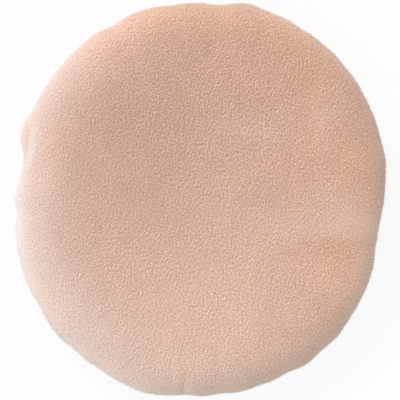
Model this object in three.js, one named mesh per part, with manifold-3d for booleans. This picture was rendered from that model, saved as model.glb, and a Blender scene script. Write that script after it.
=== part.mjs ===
// A round velour powder puff: two velour discs sewn together round the rim and turned, a foam disc inside,
// and a satin finger ribbon across the back whose ends are caught in the seam.
// It lies on its back with the powder face up. X runs along the ribbon, Z is up, and the origin is on the
// table under the middle of the puff. Lengths are millimetres, and angles are degrees round Z from X.
import * as THREE from 'three';
import { mergeVertices } from 'three/addons/utils/BufferGeometryUtils.js';
import Module from 'manifold-3d';

const wasm = await Module();
wasm.setup();

// Driving dimensions of the pad
const diameter = 80; // mean size across the rim
const ovalBulge = 1.4; // the ribbon draws its ends in by this much, and the rim swells as much across it
const cornerBulge = 0.4; // four soft corners left by the cutting of the discs
const cornerAngle = 53;
const height = 17.8; // crown of the face above the table, before its middle is dished
const seamHeight = 6.2; // the seam above the table
const crownPower = 3.2; // fullness of the face, where 2 is an ellipse
const faceDish = 1.2; // the doubled cloth round the rim stands the middle of the face a little lower
const dishShare = 0.8; // how far out the dish reaches, as a share of the way to the rim
const hollowDepth = 5.8; // the back is cupped, which leaves room for a finger over the ribbon
const hollowPower = 2.4;
const rimPower = 2.2; // fullness of the rolled edge of the back
const restInset = 8; // from the rim to the ring that the puff lies on
const restWidth = 3;
const foamEase = 1; // the foam stands back this far from the cloth round the rim

// Driving dimensions of the cloth, the ribbon and the sewing
const clothThickness = 1.2;
const seamAllowance = 4.5; // cloth turned inside past the fold
const seamGroove = 0.8; // how far the seam is drawn in between the two rolled edges
const rollRise = 0.2; // from the turned cloth to the fullest part of each rolled edge
const ribbonWidth = 12;
const ribbonThickness = 0.4;
const ribbonTail = 4; // ribbon caught inside the seam
const ribbonTuck = 1.3; // the ribbon draws the seam in this much further, so that the face hides it
const stitches = 72; // round the whole rim, one to each facet of the cloth
const threadDiameter = 0.3;
const needleSlant = 0.1; // how far a stitch leans along the seam as it goes through
const needleInset = 1.2; // from the fold to the line of stitches
const tackInset = 1.6; // from the line of stitches to the tack across a ribbon end
const tackStitches = 4;
const closingStitches = 8; // in the gap that the puff was turned and filled through
const closingStart = 265; // where that gap begins
const closingDepth = 1.4; // how far the closing stitches reach into the seam
const closingRise = 0.05; // how far they rise and fall, by turns to the upper fold and the lower
const clearance = 0.3; // between pieces that touch
const needleClearance = 0.2; // round a thread in its needle hole

// Gathers: places where the drawn-up seam pulls the rim in. The two at the ribbon's ends are the deepest.
// A negative depth is a swell, where slack cloth between two gathers stands out.
const gathers = [
  { angle: 0, depth: 0.9, spread: 9 },
  { angle: 20, depth: -0.45, spread: 6 },
  { angle: 55, depth: 0.3, spread: 4 },
  { angle: 65, depth: 0.35, spread: 5 },
  { angle: 85, depth: -0.4, spread: 4 },
  { angle: 95, depth: 0.85, spread: 5 },
  { angle: 110, depth: 0.55, spread: 5 },
  { angle: 125, depth: 0.5, spread: 4 },
  { angle: 145, depth: 0.2, spread: 8 },
  { angle: 170, depth: -0.7, spread: 5 },
  { angle: 180, depth: 1.0, spread: 6 },
  { angle: 195, depth: 0.5, spread: 5 },
  { angle: 225, depth: 0.4, spread: 4 },
  { angle: 240, depth: 0.55, spread: 4 },
  { angle: 250, depth: 0.4, spread: 4 },
  { angle: 265, depth: -0.6, spread: 6 },
  { angle: 275, depth: 0.35, spread: 4 },
  { angle: 285, depth: 0.45, spread: 4 },
  { angle: 305, depth: 0.45, spread: 4 },
  { angle: 325, depth: -0.3, spread: 5 },
];

// Distances in from the rim of the back
const needleLine = seamGroove + needleInset;
const tackLine = needleLine + tackInset;
const rawEdge = seamGroove + seamAllowance;

const radians = THREE.MathUtils.degToRad;
const quarterTurn = Math.PI / 2;
const facet = (2 * Math.PI) / stitches;
const closingFirst = Math.round(radians(closingStart) / facet);
const deepestGather = Math.max(...gathers.map((gather) => gather.depth));

// The rim without its gathers, seen from above: its radius at an angle in radians.
function smoothRim(angle) {
  const oval = -ovalBulge * Math.cos(2 * angle);
  const corners = cornerBulge * Math.cos(4 * (angle - radians(cornerAngle)));
  return diameter / 2 + oval + corners;
}

// The rim with its gathers.
function rim(angle) {
  let radius = smoothRim(angle);
  for (const gather of gathers) {
    const turn = THREE.MathUtils.radToDeg(angle) - gather.angle;
    const nearest = THREE.MathUtils.euclideanModulo(turn + 180, 360) - 180;
    radius -= gather.depth * Math.exp(-((nearest / gather.spread) ** 2));
  }
  return radius;
}

// How much of a ribbon end's pull is felt at a distance across the ribbon: all beside it, none further out.
function ribbonPull(across) {
  const clear = ribbonWidth / 2 + clearance + (facet * diameter) / 2;
  return 1 - THREE.MathUtils.smoothstep(Math.abs(across), clear, clear + restWidth);
}

// The rim of the back, which the ribbon draws in at its two ends.
function backRim(angle) {
  const outer = rim(angle);
  return outer - ribbonTuck * ribbonPull(outer * Math.sin(angle));
}

// The gap between the two folds: wider where the ribbon's ends lie in it, and where it was closed by hand.
function seamGap(angle) {
  const fromMiddle = Math.abs(angle / facet - closingFirst - closingStitches / 2);
  const closing = 1 - THREE.MathUtils.smoothstep(fromMiddle, closingStitches / 2, closingStitches / 2 + 1);
  const opened = Math.max(closing, ribbonPull(rim(angle) * Math.sin(angle)));
  return clearance + (ribbonThickness + clearance) * opened;
}

// Heights at the seam: the folds, the fullest part of each rolled edge, and the thread over and under.
const faceFold = (angle) => seamHeight + seamGap(angle) / 2;
const backFold = (angle) => seamHeight - seamGap(angle) / 2;
const faceRoll = (angle) => faceFold(angle) + clothThickness + rollRise;
const backRoll = (angle) => backFold(angle) - clothThickness - rollRise;
const stitchTop = (angle) => faceFold(angle) + clothThickness + clearance + threadDiameter / 2;
const stitchBottom = (angle) => backFold(angle) - clothThickness - clearance - threadDiameter / 2;

// Outer and inner edge of the ring that the puff lies on.
const restOuter = (angle) => smoothRim(angle) - restInset;
const restInner = (angle) => restOuter(angle) - restWidth;

// A quarter of a superellipse as [across, along] shares, from across 0 to across 1.
function quarter(power, steps, lastTurn = quarterTurn) {
  return Array.from({ length: steps + 1 }, (_, i) => {
    const turn = (i / steps) * lastTurn;
    return [Math.sin(turn) ** (2 / power), Math.cos(turn) ** (2 / power)];
  });
}

// How far the back is lifted off the table at a point, so that the ribbon passes under the resting ring.
function ribbonLift(angle, radius, share) {
  const inner = restInner(angle);
  const outward = THREE.MathUtils.smoothstep(radius, inner - 2 * restWidth, inner - restWidth);
  return (ribbonThickness + clearance) * ribbonPull(radius * Math.sin(angle)) * outward * share;
}

function bufferGeometry(positions, index) {
  return new THREE.BufferGeometry()
    .setAttribute('position', new THREE.Float32BufferAttribute(positions, 3))
    .setIndex(index);
}

// A closed body round Z. profileAt gives the [radius, z] points at an angle, from the axis on top down to the
// axis below.
function polarLoft(profileAt) {
  const profiles = Array.from({ length: stitches }, (_, s) => profileAt(s * facet));
  const last = profiles[0].length - 1;
  const positions = [0, 0, profiles[0][0][1], 0, 0, profiles[0][last][1]];
  profiles.forEach((profile, s) => {
    for (const [radius, z] of profile.slice(1, last)) {
      positions.push(radius * Math.cos(s * facet), radius * Math.sin(s * facet), z);
    }
  });
  const at = (s, i) => {
    if (i === 0) return 0;
    return i === last ? 1 : 2 + (s % stitches) * (last - 1) + i - 1;
  };
  const index = [];
  for (let s = 0; s < stitches; s++) {
    for (let i = 0; i < last; i++) {
      if (i < last - 1) index.push(at(s, i), at(s, i + 1), at(s + 1, i + 1));
      if (i > 0) index.push(at(s, i), at(s + 1, i + 1), at(s + 1, i));
    }
  }
  return bufferGeometry(positions, index);
}

// A closed tube of thread with square corners through a list of points.
function threadThrough(points) {
  const sides = 4;
  const end = points.length - 1;
  const positions = [];
  const side = new THREE.Vector3();
  points.forEach((point, i) => {
    const along = points[Math.min(i + 1, end)].clone().sub(points[Math.max(i - 1, 0)]).normalize();
    if (i === 0) side.set(0, 0, 1).cross(along);
    side.addScaledVector(along, -side.dot(along)).normalize();
    for (let k = 0; k < sides; k++) {
      const spoke = side.clone().applyAxisAngle(along, ((k + 0.5) / sides) * 2 * Math.PI);
      positions.push(...point.clone().addScaledVector(spoke, threadDiameter / 2).toArray());
    }
  });
  const at = (i, k) => i * sides + (k % sides);
  const index = [];
  for (let k = 0; k < sides; k++) {
    for (let i = 0; i < end; i++) {
      index.push(at(i, k), at(i, k + 1), at(i + 1, k + 1), at(i, k), at(i + 1, k + 1), at(i + 1, k));
    }
  }
  index.push(at(0, 0), at(0, 2), at(0, 1), at(0, 0), at(0, 3), at(0, 2));
  index.push(at(end, 0), at(end, 1), at(end, 2), at(end, 0), at(end, 2), at(end, 3));
  return bufferGeometry(positions, index);
}

function solidOf(geometry) {
  const bare = new THREE.BufferGeometry().setAttribute('position', geometry.getAttribute('position'));
  bare.setIndex(geometry.index);
  const merged = mergeVertices(bare);
  const vertProperties = new Float32Array(merged.getAttribute('position').array);
  const triVerts = new Uint32Array(merged.index.array);
  return new wasm.Manifold(new wasm.Mesh({ numProp: 3, vertProperties, triVerts }));
}

function cutAway(geometry, holes) {
  let solid = solidOf(geometry);
  for (const hole of holes) solid = solid.subtract(solidOf(hole));
  const mesh = solid.getMesh();
  return bufferGeometry(mesh.vertProperties, Array.from(mesh.triVerts));
}

// How far the face is dished at a share of the way out to the rim.
function dish(out) {
  return faceDish * Math.max(1 - (out / dishShare) ** 2, 0) ** 2;
}

// The rolled edge of a disc, from just past the fullest part of its rim into the seam.
function rolledEdge(angle, outer, fullest, fold) {
  const inner = backRim(angle) - seamGroove;
  return quarter(2, 2)
    .slice(1)
    .map(([past, out]) => [inner + (outer - inner) * out, fullest + (fold - fullest) * past]);
}

// The velour disc of the powder face: crowned, rolled in at the rim and turned inside at the seam.
function faceCloth() {
  return polarLoft((angle) => {
    const outer = rim(angle);
    const inner = outer - clothThickness;
    const cut = backRim(angle) - rawEdge;
    const fullest = faceRoll(angle);
    const fold = faceFold(angle);
    const layer = (steps, radius, top) =>
      quarter(crownPower, steps).map(([out, up]) => [
        radius * out,
        fullest + (top - fullest) * up - dish(out),
      ]);
    return [
      ...layer(6, outer, height),
      ...rolledEdge(angle, outer, fullest, fold),
      [cut, fold],
      [cut, fold + clothThickness],
      [inner, fold + clothThickness],
      ...layer(5, inner, height - clothThickness).reverse(),
    ];
  });
}

// The underside at an angle, some depth inside the outer skin: from the side of the rim, under to the resting
// ring and up to the middle of the hollow.
function underside(angle, outer, depth, rimSteps) {
  const ringOuter = restOuter(angle);
  const ringInner = restInner(angle);
  const fullest = backRoll(angle);
  const hollowSteps = 3;
  const edge = quarter(rimPower, rimSteps).map(([out, down]) => {
    const radius = ringOuter + (outer - ringOuter) * out;
    return [radius, fullest + (depth - fullest) * down + ribbonLift(angle, radius, down)];
  });
  const hollow = Array.from({ length: hollowSteps + 1 }, (_, i) => {
    const radius = ringInner * (1 - i / hollowSteps);
    const rise = hollowDepth * (1 - (radius / ringInner) ** hollowPower);
    return [radius, depth + rise + ribbonLift(angle, radius, 1)];
  });
  return [...edge.reverse(), ...hollow];
}

// The velour disc of the back: turned inside at the seam, rolled under to the resting ring, then cupped.
function backCloth() {
  return polarLoft((angle) => {
    const outer = backRim(angle);
    const inner = outer - clothThickness;
    const cut = outer - rawEdge;
    const fold = backFold(angle);
    return [
      ...underside(angle, inner, clothThickness, 2).reverse(),
      [inner, fold - clothThickness],
      [cut, fold - clothThickness],
      [cut, fold],
      ...rolledEdge(angle, outer, backRoll(angle), fold).reverse(),
      ...underside(angle, outer, 0, 3),
    ];
  });
}

// The foam disc, with a groove round its edge where the turned cloth and the stitches press in.
function foamDisc() {
  const inset = clothThickness + clearance;
  const threadRoom = threadDiameter / 2 + clearance;
  return polarLoft((angle) => {
    const smallest = smoothRim(angle) - deepestGather - rim(angle) + backRim(angle);
    const outer = smallest - inset - foamEase;
    const grooveRadius = smallest - rawEdge - clearance;
    const grooveTop = stitchTop(angle) + threadRoom;
    const grooveBottom = stitchBottom(angle) - threadRoom;
    const fullest = faceRoll(angle);
    const crownRise = height - inset - fullest;
    const topLip = Math.acos(((grooveTop - fullest) / crownRise) ** (crownPower / 2));
    const [bottomLip, ...under] = underside(angle, outer, inset, 3);
    return [
      ...quarter(crownPower, 5, topLip).map(([out, up]) => [
        outer * out,
        fullest + crownRise * up - dish(out),
      ]),
      [grooveRadius, grooveTop],
      [grooveRadius, grooveBottom],
      [bottomLip[0], grooveBottom],
      ...under,
    ];
  });
}

// Half of the ribbon seen from its edge, as [distance from the middle, z] points: flat under the resting
// ring, up round the rim and into the seam.
function ribbonEnd(angle) {
  const half = Math.asin(ribbonWidth / 2 / backRim(angle));
  const across = [-1, -0.5, 0, 0.5, 1].map((share) => share * half);
  const reach = Math.max(...across.map((turn) => backRim(angle + turn) * Math.cos(turn)));
  const away = clearance + ribbonThickness / 2;
  const ring = restOuter(angle);
  const flat = ribbonThickness / 2;
  const fold = reach - seamGroove;
  const fullest = backRoll(angle);
  const under = quarter(rimPower, 5).map(([out, down]) => [
    ring + (reach + away - ring) * out,
    fullest + (flat - fullest) * down,
  ]);
  const roll = quarter(2, 4)
    .slice(1)
    .map(([up, out]) => [fold + (seamGroove + away) * out, fullest + (seamHeight - fullest) * up]);
  return [...under, ...roll, [fold - ribbonTail, seamHeight]];
}

function ribbonBand() {
  const left = ribbonEnd(Math.PI).map(([x, z]) => new THREE.Vector2(-x, z));
  const right = ribbonEnd(0).map(([x, z]) => new THREE.Vector2(x, z));
  const line = [...left.reverse(), ...right];
  const offset = (sign) =>
    line.map((point, i) => {
      const along = line[Math.min(i + 1, line.length - 1)].clone().sub(line[Math.max(i - 1, 0)]);
      const square = new THREE.Vector2(-along.y, along.x).setLength((sign * ribbonThickness) / 2);
      return point.clone().add(square);
    });
  const outline = new THREE.Shape([...offset(-1), ...offset(1).reverse()]);
  const band = new THREE.ExtrudeGeometry(outline, { depth: ribbonWidth, bevelEnabled: false });
  return band.translate(0, 0, -ribbonWidth / 2).rotateX(quarterTurn);
}

// The angle of a needle hole: the middle of a facet.
const holeAngle = (k) => (k + 0.5) * facet;

function pointAt(angle, inset, z) {
  const radius = backRim(angle) - inset;
  return new THREE.Vector3(radius * Math.cos(angle), radius * Math.sin(angle), z);
}

// Needle holes through both turned edges and whatever lies between them.
function needleHoles(first, count, inset) {
  const wide = threadDiameter + 2 * needleClearance;
  const long = wide + 2 * needleSlant;
  return Array.from({ length: count }, (_, i) => {
    const angle = holeAngle(first + i);
    const deep = stitchTop(angle) - stitchBottom(angle);
    const hole = new THREE.BoxGeometry(wide, long, deep).rotateZ(angle);
    return hole.translate(...pointAt(angle, inset, seamHeight).toArray());
  });
}

// A running stitch through a row of needle holes, starting on top.
function runningStitch(first, count, inset) {
  const start = holeAngle(first) - facet / 2;
  const points = [pointAt(start, inset, stitchTop(start))];
  for (let i = 0; i < count; i++) {
    const [before, after] = i % 2 ? [stitchBottom, stitchTop] : [stitchTop, stitchBottom];
    const angle = holeAngle(first + i);
    const lean = needleSlant / backRim(angle);
    for (const [turn, side] of [[-lean, before], [lean, after], [facet / 2, after]]) {
      points.push(pointAt(angle + turn, inset, side(angle + turn)));
    }
  }
  return threadThrough(points);
}

// The closing stitch: it weaves in and out of the seam between the two folds.
function closingStitch(first, count) {
  const outside = seamGroove - clearance - threadDiameter / 2;
  const inside = seamGroove + closingDepth;
  const points = Array.from({ length: 4 * count }, (_, i) => {
    const inset = i % 4 < 2 ? inside : outside;
    const rise = i % 8 < 4 ? closingRise : -closingRise;
    return pointAt((first + (i + 0.5) / 4) * facet, inset, seamHeight + rise);
  });
  return threadThrough(points);
}

const seamFirst = closingFirst + closingStitches;
const seamCount = stitches - closingStitches;
const rightTack = -tackStitches / 2;
const leftTack = stitches / 2 - tackStitches / 2;
const holes = [
  ...needleHoles(seamFirst, seamCount, needleLine),
  ...needleHoles(rightTack, tackStitches, tackLine),
  ...needleHoles(leftTack, tackStitches, tackLine),
];

// Materials
const velour = new THREE.MeshStandardMaterial({ color: '#d6ae99', roughness: 0.95 });
const foam = new THREE.MeshStandardMaterial({ color: '#f0e6d2', roughness: 1 });
const satin = new THREE.MeshStandardMaterial({ color: '#d9a48f', roughness: 0.35 });
const thread = new THREE.MeshStandardMaterial({ color: '#cda28d', roughness: 0.6 });

const puff = new THREE.Group();
puff.name = 'powder_puff';

function addPiece(name, geometry, material) {
  const piece = new THREE.Mesh(geometry, material);
  piece.name = name;
  puff.add(piece);
}

addPiece('face_cover', cutAway(faceCloth(), holes), velour);
addPiece('back_cover', cutAway(backCloth(), holes), velour);
addPiece('foam_core', foamDisc(), foam);
addPiece('finger_ribbon', cutAway(ribbonBand(), holes), satin);
addPiece('seam_thread', runningStitch(seamFirst, seamCount, needleLine), thread);
addPiece('closing_thread', closingStitch(closingFirst, closingStitches), thread);
addPiece('ribbon_tack_right', runningStitch(rightTack, tackStitches, tackLine), thread);
addPiece('ribbon_tack_left', runningStitch(leftTack, tackStitches, tackLine), thread);

export default puff;
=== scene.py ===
"""A round velour powder puff: two velour discs sewn together round the rim and turned over a foam disc,
with a satin finger ribbon across the back. It lies on its back with the powder face up.
Sizes below are millimetres and angles degrees round Z from the ribbon's line. Blender gets metres and
radians."""

import math

import bpy
import numpy as np
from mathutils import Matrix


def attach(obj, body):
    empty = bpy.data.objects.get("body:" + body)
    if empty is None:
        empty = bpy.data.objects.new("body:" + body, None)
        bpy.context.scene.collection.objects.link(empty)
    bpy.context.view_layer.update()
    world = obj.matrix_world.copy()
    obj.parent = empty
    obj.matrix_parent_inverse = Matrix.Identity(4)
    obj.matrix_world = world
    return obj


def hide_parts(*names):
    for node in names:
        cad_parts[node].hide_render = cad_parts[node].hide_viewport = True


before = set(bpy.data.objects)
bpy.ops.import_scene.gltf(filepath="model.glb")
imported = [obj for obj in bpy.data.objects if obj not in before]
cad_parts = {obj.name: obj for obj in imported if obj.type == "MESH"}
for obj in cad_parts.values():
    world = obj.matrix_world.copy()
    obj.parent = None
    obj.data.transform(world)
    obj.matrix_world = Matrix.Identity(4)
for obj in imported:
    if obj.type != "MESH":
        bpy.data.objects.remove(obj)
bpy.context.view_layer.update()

MM = 0.001
TINY = 1e-9

# The pad, as in the part's source
DIAMETER = 80.0
OVAL_BULGE = 1.4
CORNER_BULGE = 0.4
CORNER_ANGLE = 53.0
HEIGHT = 17.8
SEAM_HEIGHT = 6.2
CROWN_POWER = 3.2
FACE_DISH = 1.2
DISH_SHARE = 0.8
HOLLOW_DEPTH = 5.8
HOLLOW_POWER = 2.4
RIM_POWER = 2.2
REST_INSET = 8.0
REST_WIDTH = 3.0

# The cloth, the ribbon and the sewing, as in the part's source
CLOTH = 1.2
SEAM_ALLOWANCE = 4.5
SEAM_GROOVE = 0.8
ROLL_RISE = 0.2
RIBBON_WIDTH = 12.0
RIBBON_THICKNESS = 0.4
RIBBON_TAIL = 4.0
RIBBON_TUCK = 1.3
STITCHES = 72
THREAD = 0.3
NEEDLE_SLANT = 0.1
NEEDLE_INSET = 1.2
TACK_INSET = 1.6
TACK_STITCHES = 4
CLOSING_STITCHES = 8
CLOSING_START = 265.0
CLOSING_DEPTH = 1.4
CLOSING_RISE = 0.05
CLEARANCE = 0.3
# Soft cloth closes up round what it holds, so its folds meet closer than the part's solids do
NIP = 0.05
RIBBON_NIP = 1.2
CLOSING_NIP = 0.15

FACET = 2 * math.pi / STITCHES
CLOSING_FIRST = round(math.radians(CLOSING_START) / FACET)

# Gathers, where the drawn-up seam pulls the rim in: angle, depth, spread in degrees.
# A negative depth is a swell, where slack cloth between two gathers stands out.
GATHERS = [
    (0, 0.85, 8),
    (354, 0.25, 4),
    (22, -0.5, 6),
    (34, -0.2, 4),
    (53, 0.25, 3.5),
    (62, 0.25, 3.5),
    (69, 0.35, 3),
    (86, -0.5, 4),
    (95, 0.8, 4.5),
    (102, 0.25, 4),
    (108, 0.45, 3.5),
    (127, 0.55, 3.5),
    (143, 0.15, 8),
    (168, -0.8, 5),
    (180, 0.95, 6),
    (187, 0.25, 2.5),
    (190, -0.35, 2),
    (194, 0.5, 3.5),
    (209, -0.15, 8),
    (224, 0.4, 4),
    (241, 0.55, 4),
    (249, 0.4, 3.5),
    (264, -0.6, 6),
    (277, 0.25, 4),
    (286, 0.4, 3),
    (298, 0.3, 3),
    (306, 0.4, 3.5),
    (313, -0.3, 3),
    (325, -0.35, 4),
    (340, -0.1, 8),
]

# The knit rows run this many degrees off the ribbon, and the flat cloth's map is this wide
ROW_ANGLE = 10.0
MAP_SPAN = 120.0


# Shapes of the pad

def smoothstep(value, low, high):
    share = np.clip((value - low) / (high - low), 0, 1)
    return share * share * (3 - 2 * share)


def turn_from(angle, degrees):
    return (np.degrees(angle) - degrees + 180) % 360 - 180


def smooth_rim(angle):
    corners = CORNER_BULGE * np.cos(4 * (angle - math.radians(CORNER_ANGLE)))
    return DIAMETER / 2 - OVAL_BULGE * np.cos(2 * angle) + corners


def rim(angle):
    radius = smooth_rim(angle)
    for place, depth, spread in GATHERS:
        radius = radius - depth * np.exp(-((turn_from(angle, place) / spread) ** 2))
    return radius


def ribbon_pull(across):
    clear = RIBBON_WIDTH / 2 + CLEARANCE + FACET * DIAMETER / 2
    return 1 - smoothstep(np.abs(across), clear, clear + REST_WIDTH)


def back_rim(angle):
    outer = rim(angle)
    return outer - RIBBON_TUCK * ribbon_pull(outer * np.sin(angle))


def seam_gap(angle):
    from_middle = np.abs(angle % (2 * math.pi) / FACET - CLOSING_FIRST - CLOSING_STITCHES / 2)
    closing = 1 - smoothstep(from_middle, CLOSING_STITCHES / 2, CLOSING_STITCHES / 2 + 1)
    across = np.abs(rim(angle) * np.sin(angle))
    ribbon = 1 - smoothstep(across, RIBBON_WIDTH / 2, RIBBON_WIDTH / 2 + RIBBON_NIP)
    return 2 * NIP + np.maximum(RIBBON_THICKNESS * ribbon, CLOSING_NIP * closing)


def face_fold(angle):
    return SEAM_HEIGHT + seam_gap(angle) / 2


def back_fold(angle):
    return SEAM_HEIGHT - seam_gap(angle) / 2


def face_roll(angle):
    return face_fold(angle) + CLOTH + ROLL_RISE


def back_roll(angle):
    return back_fold(angle) - CLOTH - ROLL_RISE


def rest_outer(angle):
    return smooth_rim(angle) - REST_INSET


def rest_inner(angle):
    return rest_outer(angle) - REST_WIDTH


def ribbon_lift(angle, radius, share):
    inner = rest_inner(angle)
    outward = smoothstep(radius, inner - 2 * REST_WIDTH, inner - REST_WIDTH)
    return (RIBBON_THICKNESS + CLEARANCE) * ribbon_pull(radius * np.sin(angle)) * outward * share


# How finely a quarter of a superellipse is measured
QUARTER_POINTS = 4000


def even_quarter(power, wide, high, share):
    """Points on a quarter of a superellipse at even shares of its length, as shares across and along it,
    and that length."""
    turn = np.linspace(0, math.pi / 2, QUARTER_POINTS)
    across = np.sin(turn) ** (2 / power)
    along = np.cos(turn) ** (2 / power)
    steps = np.hypot(np.diff(across) * wide, np.diff(along) * high)
    length = np.concatenate([[0], np.cumsum(steps)])
    at = share * length[-1]
    return np.interp(at, length, across), np.interp(at, length, along), length[-1]


# The face's skin: the share of the way from its middle where the gathers begin, and where the crown ends
# and the rolled edge begins
GATHER_FROM = 0.66
CROWN_END = 0.94
# The back's skin: the same for the hollow, the resting ring and the rim
HOLLOW_END = 0.64
RING_END = 0.70
RIM_END = 0.93
# How softly the hollow runs out into the ring
HOLLOW_EASE = 0.8


def face_skin(angle, share, depth):
    """Radius, height and distance over the cloth for points of the face, some depth inside the outer skin."""
    gathered = smoothstep(share, GATHER_FROM, CROWN_END)
    outer = smooth_rim(angle) + (rim(angle) - smooth_rim(angle)) * gathered - depth
    fullest = face_roll(angle)
    fold = face_fold(angle) + depth
    inner = back_rim(angle) - SEAM_GROOVE - depth
    rise = HEIGHT - depth - fullest
    on_crown = np.minimum(share / CROWN_END, 1)
    out, up, crown = even_quarter(CROWN_POWER, DIAMETER / 2, HEIGHT - SEAM_HEIGHT, on_crown)
    past = np.clip((share - CROWN_END) / (1 - CROWN_END), 0, 1) * math.pi / 2
    radius = np.where(past > 0, inner + (outer - inner) * np.cos(past), outer * out)
    dish = FACE_DISH * np.maximum(1 - (out / DISH_SHARE) ** 2, 0) ** 2
    height = np.where(past > 0, fullest + (fold - fullest) * np.sin(past), fullest + rise * up - dish)
    return radius, height, crown * share / CROWN_END


def back_skin(angle, share, depth):
    """The same for the back, from the middle of its hollow to the fold."""
    outer = back_rim(angle) - depth
    fullest = back_roll(angle)
    fold = back_fold(angle) - depth
    inner = back_rim(angle) - SEAM_GROOVE - depth
    ring_inner = rest_inner(angle)
    ring_outer = rest_outer(angle)
    hollow = np.minimum(share / HOLLOW_END, 1)
    ring = np.clip((share - HOLLOW_END) / (RING_END - HOLLOW_END), 0, 1)
    rim_share = np.clip((share - RING_END) / (RIM_END - RING_END), 0, 1)
    past = np.clip((share - RIM_END) / (1 - RIM_END), 0, 1) * math.pi / 2
    out, down, edge = even_quarter(RIM_POWER, REST_INSET, SEAM_HEIGHT, rim_share)
    radius = ring_inner * hollow + (ring_outer - ring_inner) * ring
    cup = HOLLOW_DEPTH * (1 - (radius / ring_inner) ** HOLLOW_POWER)
    height = depth + (cup + np.hypot(cup, HOLLOW_EASE)) / 2
    height = height + ribbon_lift(angle, radius, 1)
    on_rim = rim_share > 0
    rim_radius = ring_outer + (outer - ring_outer) * out
    rim_height = fullest + (depth - fullest) * down + ribbon_lift(angle, rim_radius, down)
    radius = np.where(on_rim, rim_radius, radius)
    height = np.where(on_rim, rim_height, height)
    radius = np.where(past > 0, inner + (outer - inner) * np.cos(past), radius)
    height = np.where(past > 0, fullest + (fold - fullest) * np.sin(past), height)
    return radius, height, share / RIM_END * (DIAMETER / 2 + edge / 2)


# The cloth's moment under pressure: enlarged so that the solver works at its usual size
CLOTH_SCALE = 20.0
CLOTH_FRAMES = 20
CLOTH_MASS = 0.15
CLOTH_PULL = 30.0
CLOTH_BEND = 0.5
CLOTH_PRESSURE = 4.0
CLOTH_SLACK = 0.06
CLOTH_QUALITY = 5
# How far the cloth may move in the end, and the share of the way out from which the seam holds it
CLOTH_CAP = 0.35
SEAM_HOLD = 0.985
# The face is free as far as its seam, and the back is held on its foam as far out as BACK_HELD. Each is cut
# full from its slack share outwards.
BACK_HELD = RING_END + 0.08
FACE_SLACK = 0.88
BACK_SLACK = 0.84


# Meshes

def deselect_all():
    if bpy.context.object and bpy.context.object.mode != "OBJECT":
        bpy.ops.object.mode_set(mode="OBJECT")
    bpy.ops.object.select_all(action="DESELECT")


def pick(*objects):
    deselect_all()
    for piece in objects:
        piece.select_set(True)
    bpy.context.view_layer.objects.active = objects[0]


def points_of(piece):
    places = np.empty(len(piece.data.vertices) * 3)
    piece.data.vertices.foreach_get("co", places)
    return places.reshape(-1, 3)


def set_points(piece, places):
    piece.data.vertices.foreach_set("co", places.astype(np.float32).ravel())
    piece.data.update()


def normals_of(piece):
    outward = np.empty(len(piece.data.vertices) * 3, np.float32)
    piece.data.vertex_normals.foreach_get("vector", outward)
    return outward.reshape(-1, 3)


def name_new(name):
    """The primitive that was just added, named and without the map that came with it."""
    piece = bpy.context.object
    piece.name = name
    piece.data.name = name
    for layer in list(piece.data.uv_layers):
        piece.data.uv_layers.remove(layer)
    return piece


def smooth_faces(piece):
    piece.data.polygons.foreach_set("use_smooth", np.ones(len(piece.data.polygons), bool))
    piece.data.update()


def set_attribute(piece, name, values):
    attribute = piece.data.attributes.new(name, "FLOAT", "POINT")
    attribute.data.foreach_set("value", values.astype(np.float32))


def apply_modifier(piece, kind, **settings):
    pick(piece)
    modifier = piece.modifiers.new(kind.title(), kind)
    for name, value in settings.items():
        setattr(modifier, name, value)
    bpy.ops.object.modifier_apply(modifier=modifier.name)


def set_map(piece, name, spots):
    """Writes a UV map from one place for each vertex."""
    layer = piece.data.uv_layers.get(name) or piece.data.uv_layers.new(name=name, do_init=False)
    corners = np.empty(len(piece.data.loops), np.int32)
    piece.data.loops.foreach_get("vertex_index", corners)
    layer.uv.foreach_set("vector", spots[corners].astype(np.float32).ravel())


# A share this near the fold counts as on it
AT_FOLD = 0.9999
# Half the width and the middle of a skin's place on the bake map: the lining has a corner beside the outer
# skin
OUTER_BAKE = (0.49, 0.5)
LINING_BAKE = (0.06, 0.07)


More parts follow.
